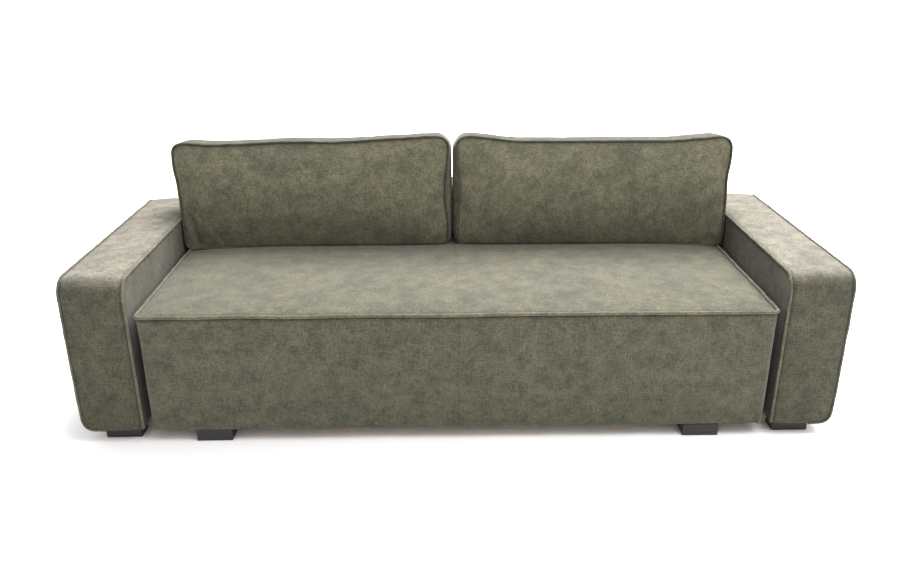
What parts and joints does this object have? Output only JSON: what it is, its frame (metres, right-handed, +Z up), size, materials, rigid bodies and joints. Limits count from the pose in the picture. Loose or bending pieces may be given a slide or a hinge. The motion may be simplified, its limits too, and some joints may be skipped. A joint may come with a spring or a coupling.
{
  "type": "sofa bed",
  "caption": "Wide upholstered sofa bed: straight padded arms, a seat that pulls out on casters, a backrest that folds flat behind it, and loose piped back cushions.",
  "frame": {"origin": "middle of the footprint, on the floor that the feet stand on", "axes": "+X to the right as seen from the front, along the sofa's width; the front faces -Y; +Z up"},
  "size_m": [2.45, 0.934, 0.8423],
  "materials": {
    "upholstery": "mottled olive-grey flat-pile velour with a soft sheen and self-fabric piping",
    "timber": "planed softwood, unfinished",
    "plywood": "birch plywood, unfinished",
    "feet": "dark brown stained block, satin lacquer",
    "steel": "zinc-plated steel",
    "wheel_plastic": "black moulded nylon"
  },
  "bodies": {
    "base": {"arm_cover_left": "upholstery", "arm_inner_board_left": "plywood", "arm_outer_board_left": "plywood", "arm_front_board_left": "plywood", "arm_rear_board_left": "plywood", "arm_top_board_left": "plywood", "arm_bottom_board_left": "plywood", "arm_foot_front_left": "feet", "arm_foot_rear_left": "feet", "arm_cover_right": "upholstery", "arm_inner_board_right": "plywood", "arm_outer_board_right": "plywood", "arm_front_board_right": "plywood", "arm_rear_board_right": "plywood", "arm_top_board_right": "plywood", "arm_bottom_board_right": "plywood", "arm_foot_front_right": "feet", "arm_foot_rear_right": "feet", "hinge_bolt_left": "steel", "hinge_spacer_left": "steel", "base_runner_left": "timber", "guide_rail_left": "steel", "hinge_bolt_right": "steel", "hinge_spacer_right": "steel", "base_runner_right": "timber", "guide_rail_right": "steel", "base_front_beam": "timber", "base_rear_beam": "timber", "base_rear_cover": "upholstery"},
    "seat_unit": {"seat_pad": "upholstery", "seat_front_padding": "upholstery", "seat_side_padding_left": "upholstery", "seat_side_padding_right": "upholstery", "seat_deck": "plywood", "seat_front_board": "timber", "seat_rear_rail": "timber", "seat_side_board_left": "timber", "caster_post_left": "timber", "seat_foot_left": "feet", "caster_fork_left": "steel", "caster_axle_left": "steel", "roller_axle_left": "steel", "seat_side_board_right": "timber", "caster_post_right": "timber", "seat_foot_right": "feet", "caster_fork_right": "steel", "caster_axle_right": "steel", "roller_axle_right": "steel"},
    "backrest": {"backrest_pad": "upholstery", "backrest_board": "plywood", "backrest_rear_cover": "upholstery", "hinge_plate_left": "steel", "hinge_plate_right": "steel"},
    "caster_wheel_left": {"caster_wheel_left": "wheel_plastic"},
    "guide_roller_left": {"guide_roller_left": "wheel_plastic"},
    "back_cushion_left": {"back_cushion_left": "upholstery"},
    "caster_wheel_right": {"caster_wheel_right": "wheel_plastic"},
    "guide_roller_right": {"guide_roller_right": "wheel_plastic"},
    "back_cushion_right": {"back_cushion_right": "upholstery"}
  },
  "joints": [
    {"name": "seat_slide", "type": "slide", "parent": "base", "child": "seat_unit", "axis": [0, -1, 0], "range_m": [0, 0.278]},
    {"name": "backrest_fold", "type": "hinge", "parent": "base", "child": "backrest", "pos_m": [0, 0.299, 0.486], "axis": [-1, 0, 0], "range_deg": [0, 90]},
    {"name": "caster_roll_left", "type": "hinge", "parent": "seat_unit", "child": "caster_wheel_left", "pos_m": [-0.97, -0.377, 0.025], "axis": [1, 0, 0], "range_deg": [0, 640]},
    {"name": "guide_roll_left", "type": "hinge", "parent": "seat_unit", "child": "guide_roller_left", "pos_m": [-0.94, 0.233, 0.2059], "axis": [1, 0, 0], "range_deg": [0, 800]},
    {"name": "cushion_lift_left", "type": "slide", "parent": "seat_unit", "child": "back_cushion_left", "axis": [0, 0, 1], "range_m": [0, 0.3]},
    {"name": "caster_roll_right", "type": "hinge", "parent": "seat_unit", "child": "caster_wheel_right", "pos_m": [0.97, -0.377, 0.025], "axis": [1, 0, 0], "range_deg": [0, 640]},
    {"name": "guide_roll_right", "type": "hinge", "parent": "seat_unit", "child": "guide_roller_right", "pos_m": [0.94, 0.233, 0.2059], "axis": [1, 0, 0], "range_deg": [0, 800]},
    {"name": "cushion_lift_right", "type": "slide", "parent": "seat_unit", "child": "back_cushion_right", "axis": [0, 0, 1], "range_m": [0, 0.3]}
  ],
  "couplings": [
    {"joint": "backrest_fold", "follows": "seat_slide", "rad_per_m": 5.6502},
    {"joint": "caster_roll_left", "follows": "seat_slide", "rad_per_m": 40},
    {"joint": "guide_roll_left", "follows": "seat_slide", "rad_per_m": 50},
    {"joint": "caster_roll_right", "follows": "seat_slide", "rad_per_m": 40},
    {"joint": "guide_roll_right", "follows": "seat_slide", "rad_per_m": 50}
  ]
}
